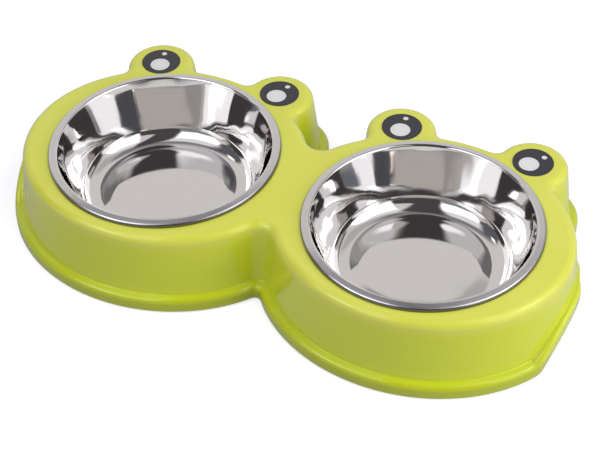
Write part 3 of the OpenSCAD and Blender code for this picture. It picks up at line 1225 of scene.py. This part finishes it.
@dataclass
class SteelBowl:
    """One pressed bowl: crowned floor, ring, curved foot, leaning wall, rolled mouth and sloping rim.

    Attributes:
        layout: the sizes that it shares with the stand.
        side: which bowl it is.
        depth: inside depth from the deck to the ring.
        floor_r: radius of the flat inside the foot's curve.
        curve_r: radius of that curve.
        rise: height of the raised floor over the ring.
        rise_run: length of the slope up to it.
        ring_land: width of the flat ring.
        crown: height of the floor's crown.
        roll_r: radius of the rolled mouth and of the rim's edge.
        rim_slope: slope of the rim, in degrees.
        lip_h: height above the deck at which the rim has turned straight down into its lip.
        lip_end: height of the lip's lower end.
        lip_flat: half of the width of that end.
        knee_reach: reach of the round at the raised floor's edge.
        ring_reach: reach of the round at the ring.
        floor_rings: radii of the rings on the floor.
        curve_steps: steps of the foot's curve.
        wall_steps: steps up the wall.
        mouth_steps: steps of the rolled mouth.
        rim_steps: steps over the rim.
        edge_steps: steps of its edge.
        steps: steps round the bowl.
    """

    layout: Layout
    side: Side
    depth: float = 33.6
    floor_r: float = 41.0
    curve_r: float = 11.5
    rise: float = 1.5
    rise_run: float = 7.0
    ring_land: float = 1.0
    crown: float = 1.2
    roll_r: float = 1.6
    rim_slope: float = 12.0
    lip_h: float = 1.0
    lip_end: float = 0.12
    lip_flat: float = 0.2
    knee_reach: float = 2.4
    ring_reach: float = 0.8
    floor_rings: tuple[float, ...] = (0.4, 4, 8, 12, 16, 20, 24, 28)
    curve_steps: int = 28
    wall_steps: int = 6
    mouth_steps: int = 14
    rim_steps: int = 4
    edge_steps: int = 12
    steps: int = 288

    def face(self, t: float) -> list[Flat]:
        """One face of the sheet: 0 is the inside and the sheet's thickness the outside.

        Args:
            t: depth into the sheet.

        Returns:
            Radius and height of each ring, from the floor out to the lip.
        """
        cx, cz = self.floor_r, self.curve_r - self.depth
        run = self.layout.rim_r - self.layout.mouth_r - 2 * self.roll_r
        mx = self.layout.mouth_r + self.roll_r
        mz = self.lip_h + run * math.tan(math.radians(self.rim_slope))
        ox = self.layout.rim_r - self.roll_r
        reach = math.hypot(mx - cx, mz - cz)
        lean = math.degrees(math.acos((self.curve_r + self.roll_r) / reach)) - bearing(mx - cx, mz - cz)
        ring_r = self.floor_r - self.ring_land
        knee, ring = (ring_r - self.rise_run, self.rise - self.depth - t), (ring_r, -self.depth - t)
        points = [(r, knee[1] + self.crown * (1 - (r / knee[0]) ** 2)) for r in self.floor_rings]
        points += bend(points[-1], knee, ring, self.knee_reach)
        points += bend(knee, ring, (cx, ring[1]), self.ring_reach)
        points += arc((cx, cz), self.curve_r + t, -90, -lean, self.curve_steps)
        mouth = arc((mx, mz), self.roll_r - t, 180 - lean, 90 - self.rim_slope, self.mouth_steps)
        outer = arc((ox, self.lip_h), self.roll_r - t, 90 - self.rim_slope, 0, self.edge_steps)
        low, high = points[-1], mouth[-1]
        points += [between(low, mouth[0], i / self.wall_steps) for i in range(1, self.wall_steps)] + mouth
        points += [between(high, outer[0], i / self.rim_steps) for i in range(1, self.rim_steps)] + outer
        return points + [(self.layout.rim_r - t, self.lip_end)]

    def build(self) -> bpy.types.Object:
        """Builds and dresses the bowl.

        Returns:
            The bowl.
        """
        sheet = self.layout.sheet
        tip = self.layout.rim_r - sheet / 2
        inside, outside = self.face(0), self.face(sheet)
        profile = inside + [(tip + self.lip_flat, 0.0), (tip - self.lip_flat, 0.0)] + outside[::-1]
        centre = self.layout.bowl_centre(self.side)
        shell = Shell()
        rings = shell.lathe(centre, [(r, z + self.layout.deck_z) for r, z in profile], self.steps)
        shell.cap(rings[0])
        shell.cap(rings[-1])
        name = f"Spun_steel_{self.side.name.lower()}"
        finish = SpunSteel(name=name, centre=(centre[0] * MM, centre[1] * MM))
        bowl = shell.make(f"{self.side.name.lower()}_dish", finish.material())
        settle(bowl, self.side.body, Slot.STEEL, [self.side.body])
        return bowl


class Repeat:
    """A Geometry Nodes tree that puts one small part at each point of a piece."""

    def __init__(self, name: str, sizes: dict[str, float]) -> None:
        """Makes the tree with its named inputs.

        Args:
            name: the tree's name.
            sizes: name and value of each size, in metres.
        """
        self.name, self.sizes = name, sizes
        self.tree = bpy.data.node_groups.new(name, "GeometryNodeTree")
        face = self.tree.interface
        face.new_socket("Places", in_out="INPUT", socket_type="NodeSocketGeometry")
        self.sockets = {s: face.new_socket(s, in_out="INPUT", socket_type="NodeSocketFloat") for s in sizes}
        self.finish = face.new_socket("Finish", in_out="INPUT", socket_type="NodeSocketMaterial")
        face.new_socket("Parts", in_out="OUTPUT", socket_type="NodeSocketGeometry")
        self.wiring = Wiring(self.tree)
        self.start = self.tree.nodes.new("NodeGroupInput")

    def size(self, name: str) -> Socket:
        """The socket of a named size."""
        return self.start.outputs[name]

    def spread(self, part: Socket) -> None:
        """Puts a part at each point, turned as the point says, and ends the tree.

        Args:
            part: the part's geometry.
        """
        add = self.wiring.add
        turn = add("GeometryNodeInputNamedAttribute", {"Name": "turn"}, data_type="FLOAT")
        rotation = add("ShaderNodeCombineXYZ", {2: turn})
        copies = add("GeometryNodeInstanceOnPoints",
                     {"Points": self.start.outputs["Places"], "Instance": part, "Rotation": rotation})
        real = add("GeometryNodeRealizeInstances", {0: copies})
        dressed = add("GeometryNodeSetMaterial", {"Geometry": real, "Material": self.start.outputs["Finish"]})
        add("NodeGroupOutput", {0: dressed})

    def run(self, places: Sequence[Flat], z: float, turns: Sequence[float], finish: bpy.types.Material,
            sharp: float) -> bpy.types.Object:
        """Runs the tree over the places.

        Args:
            places: the points from above, in millimetres.
            z: their height, in millimetres.
            turns: turn of each copy, in degrees.
            finish: the material.
            sharp: angle in degrees from which an edge is sharp.

        Returns:
            One plain piece with all the copies.
        """
        seeds = bpy.data.meshes.new(f"{self.name}_places")
        seeds.from_pydata([(x * MM, y * MM, z * MM) for x, y in places], [], [])
        turn = seeds.attributes.new("turn", "FLOAT", "POINT")
        for item, angle in zip(turn.data, turns):
            item.value = math.radians(angle)
        carrier = bpy.data.objects.new(f"{self.name}_carrier", seeds)
        bpy.context.scene.collection.objects.link(carrier)
        modifier = carrier.modifiers.new("repeat", "NODES")
        modifier.node_group = self.tree
        for name, socket in self.sockets.items():
            modifier[socket.identifier] = self.sizes[name]
        modifier[self.finish.identifier] = finish
        graph = bpy.context.evaluated_depsgraph_get()
        mesh = bpy.data.meshes.new_from_object(carrier.evaluated_get(graph))
        carrier.modifiers.remove(modifier)
        bpy.data.objects.remove(carrier)
        mesh.name = self.name
        return place_mesh(mesh, self.name, finish, sharp)


@dataclass
class FrogEyes:
    """The four round stickers: a pale film, and on it the dark print with its two windows.

    Attributes:
        layout: the sizes that it shares with the stand.
        turns: turn of each eye, in degrees.
        radius: radius of the sticker.
        pupil_r: radius of the pupil's window.
        pupil_off: its distance from the middle.
        glint_r: radius of the highlight's window.
        glint_off: its distance from the middle, on the other side.
        film_t: thickness of the film.
        print_t: thickness of the print.
        edge_steps: steps round the sticker.
        window_steps: steps round a window.
        merge: distance within which points are made one, in metres.
        sharp: angle in degrees from which an edge is sharp.
        film_finish: finish of the film.
        print_finish: finish of the print, which has no ring.
    """

    layout: Layout
    turns: tuple[float, ...] = (13.0, -14.0, 4.0, -36.0)
    radius: float = 11.8
    pupil_r: float = 5.9
    pupil_off: float = 2.9
    glint_r: float = 1.65
    glint_off: float = 8.0
    film_t: float = 0.25
    print_t: float = 0.2
    edge_steps: int = 160
    window_steps: int = 80
    merge: float = 0.000001
    sharp: float = 40.0
    film_finish: PrintedFilm = PrintedFilm()
    print_finish: PrintedFilm = PrintedFilm(name="Eye_print", colour=(0.022, 0.021, 0.030), roughness=0.3,
                                            ring=1.0, outline_tint=0.35, pupil=(0.0, 0.0))

    def disc(self, repeat: Repeat, windows: bool) -> Socket:
        """Adds the nodes of one layer.

        Args:
            repeat: the tree to add to.
            windows: whether the pupil and the highlight are cut out.

        Returns:
            The layer's geometry, with the eye's own coordinates on it.
        """
        add, size, join = repeat.wiring.add, repeat.size, repeat.wiring.join
        circle = "GeometryNodeCurvePrimitiveCircle"
        rings = [add(circle, {"Resolution": self.edge_steps, "Radius": size("Radius")})]
        for window in ("Pupil", "Glint") if windows else ():
            ring = add(circle, {"Resolution": self.window_steps, "Radius": size(f"{window} radius")})
            shift = add("ShaderNodeCombineXYZ", {1: size(f"{window} offset")})
            rings.append(add("GeometryNodeTransform", {"Geometry": ring, "Translation": shift}))
        face = add("GeometryNodeFillCurve", {0: join(rings)}, mode="TRIANGLES")
        lift = add("ShaderNodeCombineXYZ", {2: size("Thickness")})
        front = add("GeometryNodeExtrudeMesh", {"Mesh": face, "Offset": lift, "Individual": False})
        back = add("GeometryNodeFlipFaces", {0: face})
        whole = add("GeometryNodeMergeByDistance", {"Geometry": join([back, front]), "Distance": self.merge})
        spot = add("GeometryNodeInputPosition")
        return add("GeometryNodeStoreNamedAttribute", {"Geometry": whole, "Name": "eye_place", "Value": spot},
                   data_type="FLOAT_VECTOR", domain="POINT")

    def layer(self, name: str, thickness: float, z: float, windows: bool, finish: Finish) -> bpy.types.Object:
        """Builds one layer of all four eyes.

        Args:
            name: the piece's name.
            thickness: the layer's thickness.
            z: height of its lower face.
            windows: whether the pupil and the highlight are cut out.
            finish: its finish.

        Returns:
            The piece.
        """
        sizes = {"Radius": self.radius * MM, "Thickness": thickness * MM}
        if windows:
            sizes |= {"Pupil radius": self.pupil_r * MM, "Pupil offset": -self.pupil_off * MM,
                      "Glint radius": self.glint_r * MM, "Glint offset": self.glint_off * MM}
        repeat = Repeat(name, sizes)
        repeat.spread(self.disc(repeat, windows))
        return repeat.run(self.layout.lobes(), z, self.turns, finish.material(), self.sharp)

    def build(self) -> None:
        """Builds and dresses both layers."""
        deck_z = self.layout.deck_z
        film_finish = replace(self.film_finish, pupil=(0.0, -self.pupil_off * MM))
        film = self.layer("eye_film", self.film_t, deck_z, False, film_finish)
        settle(film, "stand", Slot.FILM, [f"eye_white_{i}" for i in range(1, 5)])
        dark = self.layer("eye_print", self.print_t, deck_z + self.film_t, True, self.print_finish)
        settle(dark, "stand", Slot.PRINT, [f"eye_black_{i}" for i in range(1, 5)])


@dataclass
class RubberFeet:
    """The eight feet, each a rounded head with a plug pressed into a post.

    Attributes:
        places: their centres from above.
        finish: their rubber.
        head_r: radius of the head.
        head_t: its thickness.
        plug_r: radius of the plug.
        plug_l: its length.
        round_steps: steps round a foot.
        rise_steps: steps up it.
        cap_steps: rings on its flat ends.
        sharp: angle in degrees from which an edge is sharp.
    """

    places: list[Flat]
    finish: SoftRubber = SoftRubber()
    head_r: float = 5.5
    head_t: float = 2.0
    plug_r: float = 3.5
    plug_l: float = 6.0
    round_steps: int = 64
    rise_steps: int = 64
    cap_steps: int = 3
    sharp: float = 40.0

    def build(self) -> bpy.types.Object:
        """Builds and dresses the feet.

        Returns:
            One piece with all of them.
        """
        total = self.head_t + self.plug_l
        repeat = Repeat("rubber_feet", {"Head radius": self.head_r * MM, "Height": total * MM})
        add, size, wiring = repeat.wiring.add, repeat.size, repeat.wiring
        bar = add("GeometryNodeMeshCylinder",
                  {"Vertices": self.round_steps, "Side Segments": self.rise_steps,
                   "Fill Segments": self.cap_steps, "Radius": size("Head radius"), "Depth": size("Height")})
        spot = add("GeometryNodeInputPosition")
        share = wiring.math("ADD", wiring.math("DIVIDE", wiring.height(spot), size("Height")), 0.5)
        curve = add("ShaderNodeFloatCurve", {"Value": share})
        self.draw(curve.node.mapping, total)
        shaped = wiring.vector("MULTIPLY", spot, add("ShaderNodeCombineXYZ", {0: curve, 1: curve, 2: 1.0}))
        half = add("ShaderNodeCombineXYZ", {2: wiring.math("MULTIPLY", size("Height"), 0.5)})
        raised = wiring.vector("ADD", shaped, half)
        repeat.spread(add("GeometryNodeSetPosition", {"Geometry": bar, "Position": raised}))
        feet = repeat.run(self.places, 0.0, [0.0] * len(self.places), self.finish.material(), self.sharp)
        settle(feet, "stand", Slot.RUBBER, [f"foot_{i}" for i in range(1, len(self.places) + 1)])
        return feet

    def draw(self, mapping: bpy.types.CurveMapping, total: float) -> None:
        """Draws a foot's profile, as shares of its height and of its head's radius.

        Args:
            mapping: the curve to draw on.
            total: the foot's whole length.
        """
        head, plug = self.head_t / total, self.plug_r / self.head_r
        marks = [(0.0, 0.9), (0.012, 0.96), (0.035, 1.0), (head - 0.035, 1.0), (head - 0.012, 0.97),
                 (head, plug), (head + 0.02, plug), (0.93, plug), (0.975, plug * 0.95), (1.0, plug * 0.86)]
        curve = mapping.curves[0]
        curve.points[0].location = marks[0]
        curve.points[1].location = marks[-1]
        for x, y in marks[1:-1]:
            curve.points.new(x, y)
        for point in curve.points:
            point.handle_type = "VECTOR"
        mapping.update()


@dataclass(frozen=True)
class Panel:
    """A soft light of the studio, aimed at the bowls.

    Attributes:
        name: its name.
        turn: bearing from the bowls, in degrees from the camera's side towards the right.
        lift: height above the floor as an angle, in degrees.
        reach: distance, in metres.
        size: width and height, in metres.
        level: radiance.
    """

    name: str
    turn: float
    lift: float
    reach: float
    size: Flat
    level: float


@dataclass(frozen=True)
class Patch:
    """A light or dark patch of the room overhead, as the steel sees it.

    Its corners are angles from straight up: first towards the right, then towards the camera.

    Attributes:
        corners: the corners in turn, none of them hollow.
        colour: radiance.
        soft: width of its soft edge, in degrees.
    """

    corners: tuple[Flat, ...]
    colour: Colour
    soft: float = 4.0

    def edges(self) -> list[tuple[Flat, float]]:
        """Finds the edges.

        Returns:
            The inward direction and the offset of each.
        """
        pairs = list(zip(self.corners, self.corners[1:] + self.corners[:1]))
        turn = 1 if sum(a[0] * b[1] - b[0] * a[1] for a, b in pairs) > 0 else -1
        lines = []
        for a, b in pairs:
            length = math.dist(a, b) * turn
            inward = ((a[1] - b[1]) / length, (b[0] - a[0]) / length)
            lines.append((inward, a[0] * inward[0] + a[1] * inward[1]))
        return lines


@dataclass
class Studio:
    """The floor, the white surroundings, the room overhead, the soft lights and the camera.

    Angles are in degrees, and lengths in metres where no other unit is given.

    Attributes:
        turn: the camera's bearing, from the front towards the right.
        lift: its height above the floor, as an angle.
        roll: its roll.
        reach: its distance from the target.
        lens: its focal length, in millimetres.
        sensor: width of its sensor, in millimetres.
        clip: nearest and farthest that it sees.
        target: where it aims.
        aim: where the lights aim.
        ambient: level of the world as a light.
        paper: the floor's colour.
        paper_glow: what the floor adds for the camera alone.
        floor_rings: radii of the floor's rings, in millimetres.
        steps: steps round the floor and the dome.
        lights: the soft lights, which no shiny surface mirrors.
        dome_r: radius of the dome, in millimetres.
        dome_rings: rings of the dome.
        low_band: angles from straight up between which the room gives way to its foot.
        low_colour: radiance of that foot.
        plain: radiance of the room between its patches.
        patches: the room's patches, the later ones over the earlier.
    """

    turn: float = 24.634
    lift: float = 43.590
    roll: float = -0.948
    reach: float = 0.8425
    lens: float = 92.2
    sensor: float = 36.0
    clip: Flat = (0.01, 50.0)
    target: tuple[float, float, float] = (0.01883, -0.03744, 0.0485)
    aim: tuple[float, float, float] = (0.0, 0.0, 0.03)
    ambient: float = 0.27
    paper: Colour = (0.62, 0.61, 0.69)
    paper_glow: float = 0.59
    floor_rings: tuple[float, ...] = (50, 400, 1200, 4000, 9000)
    steps: int = 96
    lights: tuple[Panel, ...] = (
        Panel("left_light", -62.0, 64.0, 1.0, (0.75, 0.50), 3.35),
        Panel("right_light", 66.0, 58.0, 1.0, (0.75, 0.50), 3.0),
        Panel("end_light", 62.0, 18.0, 1.0, (0.60, 0.50), 4.0),
    )
    dome_r: float = 1100.0
    dome_rings: int = 32
    low_band: Flat = (80.0, 86.0)
    low_colour: Colour = (0.9, 0.9, 0.9)
    plain: Colour = (0.816, 0.793, 0.778)
    patches: tuple[Patch, ...] = (
        Patch(((-28, -30), (8, -30), (22, -25), (20, -10), (2, -6), (-20, -8)), (0.28, 0.27, 0.29), 8.0),
        Patch(((18, -34), (44, -36), (50, -12), (20, -6)), (0.56, 0.55, 0.56), 10.0),
        Patch(((-84, 10), (-58, 24), (-40, 42), (-18, 50), (-22, 88), (-76, 74)), (0.24, 0.27, 0.32), 10.0),
        Patch(((42, -52), (54, -58), (76, -12), (62, -10)), (0.14, 0.14, 0.16), 8.0),
        Patch(((-84, -22), (-40, -29), (-20, -23), (-23, -13), (-56, 11), (-84, 4)),
              (0.13, 0.134, 0.155), 6.0),
        Patch(((-42, -24), (-36, -28), (-31, -26), (-37, -20)), (2.4, 2.1, 1.9), 3.0),
        Patch(((-9, -10), (-22, -13), (-56, 12), (-60, 26), (-40, 46), (-20, 50), (-7, 2)),
              (1.8, 1.85, 1.95)),
        Patch(((11, -6), (30, -4), (58, -9), (74, 6), (72, 30), (52, 56), (38, 60)), (1.8, 1.85, 1.95)),
        Patch(((-6, -12), (-24, -16), (-44, 0), (-26, 9), (-6, 10)), (0.95, 0.96, 1.0), 9.0),
        Patch(((10, -8), (30, -6), (40, -8), (36, 6), (16, 13)), (0.95, 0.96, 1.0), 9.0),
        Patch(((-36, 8), (-47, 16), (-40, 28), (-30, 24)), (5.0, 5.0, 5.0)),
        Patch(((38, 10), (56, 6), (56, 20), (44, 28)), (5.0, 5.0, 5.0)),
        Patch(((43, 62), (42, 80), (-25, 80), (-23, 60), (-18, 42), (30, 44)), (0.085, 0.078, 0.084), 6.0),
        Patch(((0, -17), (7, -16), (15, 0), (10, 46), (-17, 46), (-7, -2)), (0.085, 0.078, 0.084), 5.0),
    )

    def towards(self, turn: float, lift: float) -> Vector:
        """Finds the direction from the bowls to something in the studio.

        Args:
            turn: its bearing.
            lift: its height as an angle.

        Returns:
            The direction.
        """
        a, e = math.radians(turn), math.radians(lift)
        return Vector((math.sin(a) * math.cos(e), -math.cos(a) * math.cos(e), math.sin(e)))

    def camera(self) -> None:
        """Sets the camera at the photograph's angle."""
        back = self.towards(self.turn, self.lift)
        right = Vector((0, 0, 1)).cross(back).normalized()
        up = back.cross(right)
        r = math.radians(self.roll)
        right, up = right * math.cos(r) + up * math.sin(r), up * math.cos(r) - right * math.sin(r)
        data = bpy.data.cameras.new("camera")
        data.lens, data.sensor_width = self.lens, self.sensor
        data.clip_start, data.clip_end = self.clip
        camera = bpy.data.objects.new("camera", data)
        spot = Vector(self.target) + back * self.reach
        camera.matrix_world = Matrix.Translation(spot) @ Matrix((right, up, back)).transposed().to_4x4()
        bpy.context.scene.collection.objects.link(camera)
        bpy.context.scene.camera = camera

    def aimed(self, panel: Panel) -> Matrix:
        """Turns a panel to face the bowls.

        Args:
            panel: the panel.

        Returns:
            Its place and turn.
        """
        away = self.towards(self.turn + panel.turn, panel.lift)
        spot = Vector(self.aim) + away * panel.reach
        return Matrix.Translation(spot) @ away.to_track_quat("Z", "Y").to_matrix().to_4x4()

    def light(self, panel: Panel) -> None:
        """Hangs a soft light.

        Args:
            panel: the light.
        """
        data = bpy.data.lights.new(panel.name, "AREA")
        data.shape, (data.size, data.size_y) = "RECTANGLE", panel.size
        data.energy = panel.level * math.pi * panel.size[0] * panel.size[1]
        lamp = bpy.data.objects.new(panel.name, data)
        lamp.matrix_world = self.aimed(panel)
        lamp.visible_camera = lamp.visible_glossy = False
        bpy.context.scene.collection.objects.link(lamp)

    def overhead(self) -> None:
        """Puts the room overhead on a dome that only shiny surfaces see."""
        shell = Shell()
        rise = [unit(90 * i / self.dome_rings) for i in range(self.dome_rings)]
        rings = shell.lathe((0, 0), [(self.dome_r * c, self.dome_r * h) for c, h in rise], self.steps)
        shell.cap(rings[-1])
        material = bpy.data.materials.new("Room_overhead")
        wiring = empty_tree(material)
        spot = wiring.vector("NORMALIZE", wiring.place())
        angle = wiring.math("MULTIPLY", wiring.math("ARCCOSINE", wiring.height(spot)), 180 / math.pi)
        way = wiring.vector("NORMALIZE", wiring.vector("MULTIPLY", spot, (1.0, -1.0, 0.0)))
        sky = wiring.scaled(way, angle)
        colour = (*self.plain, 1)
        for patch in self.patches:
            colour = wiring.blend(self.share(wiring, sky, patch), colour, (*patch.colour, 1))
        colour = wiring.blend(wiring.span(angle, *self.low_band), colour, (*self.low_colour, 1))
        light = wiring.add("ShaderNodeEmission", {0: colour, 1: 1.0})
        wiring.add("ShaderNodeOutputMaterial", {"Surface": light})
        material.cycles.emission_sampling = "NONE"
        dome = shell.make("room_dome", material)
        dome.rotation_euler = (0, 0, math.radians(self.turn))
        dome.visible_camera = dome.visible_diffuse = dome.visible_shadow = False

    def share(self, wiring: Wiring, sky: Socket, patch: Patch) -> Socket:
        """How much of a patch is seen in a direction.

        Args:
            wiring: the dome's wiring.
            sky: the direction as two angles from straight up.
            patch: the patch.

        Returns:
            A share from 0 to 1.
        """
        depth = None
        for inward, offset in patch.edges():
            dot = wiring.vector("DOT_PRODUCT", sky, (*inward, 0.0), out=1)
            inside = wiring.math("SUBTRACT", dot, offset)
            depth = inside if depth is None else wiring.math("MINIMUM", depth, inside)
        return wiring.span(depth, -patch.soft / 2, patch.soft / 2)

    def surroundings(self) -> None:
        """Makes the world white to the camera and in shiny surfaces, and softer as a light."""
        world = bpy.data.worlds.new("studio")
        wiring = empty_tree(world)
        path = wiring.tree.nodes.new("ShaderNodeLightPath").outputs
        seen = wiring.math("ADD", wiring.math("ADD", path["Is Camera Ray"], path["Is Glossy Ray"]),
                           path["Is Transmission Ray"], clamp=True)
        level = wiring.math("ADD", wiring.math("MULTIPLY", seen, 1.0 - self.ambient), self.ambient)
        sky = wiring.add("ShaderNodeBackground", {0: (1, 1, 1, 1), 1: level})
        wiring.add("ShaderNodeOutputWorld", {"Surface": sky})
        bpy.context.scene.world = world

    def floor(self) -> None:
        """Lays the pale floor, which keeps the object's shadow."""
        shell = Shell()
        rings = shell.lathe((0, 0), [(r, 0.0) for r in self.floor_rings], self.steps)
        shell.cap(rings[0])
        material = bpy.data.materials.new("Floor_paper")
        wiring = empty_tree(material)
        path = wiring.tree.nodes.new("ShaderNodeLightPath").outputs
        paper = wiring.add("ShaderNodeBsdfDiffuse", {"Color": (*self.paper, 1)})
        level = wiring.math("MULTIPLY", path["Is Camera Ray"], self.paper_glow)
        glow = wiring.add("ShaderNodeEmission", {0: (1, 1, 1, 1), 1: level})
        both = wiring.add("ShaderNodeAddShader", {0: paper, 1: glow})
        wiring.add("ShaderNodeOutputMaterial", {"Surface": both})
        floor = shell.make("studio_floor", material)

    def build(self) -> None:
        """Builds the whole studio."""
        self.camera()
        self.surroundings()
        self.floor()
        self.overhead()
        for panel in self.lights:
            self.light(panel)
        bpy.context.scene.view_settings.view_transform = "Standard"
        log.info("studio: %d lights and %d patches", len(self.lights), len(self.patches))


def main() -> None:
    """Builds the object piece by piece, then the studio."""
    layout = Layout()
    outline = HeadOutline(layout.pitch, (layout.lobe_x, layout.lobe_y))
    stand = FrogStand(layout, outline, MouldedPlastic())
    stand.build()
    for side in Side:
        SteelBowl(layout, side).build()
    FrogEyes(layout).build()
    RubberFeet(stand.posts()).build()
    Studio().build()


if __name__ == "__main__":
    main()
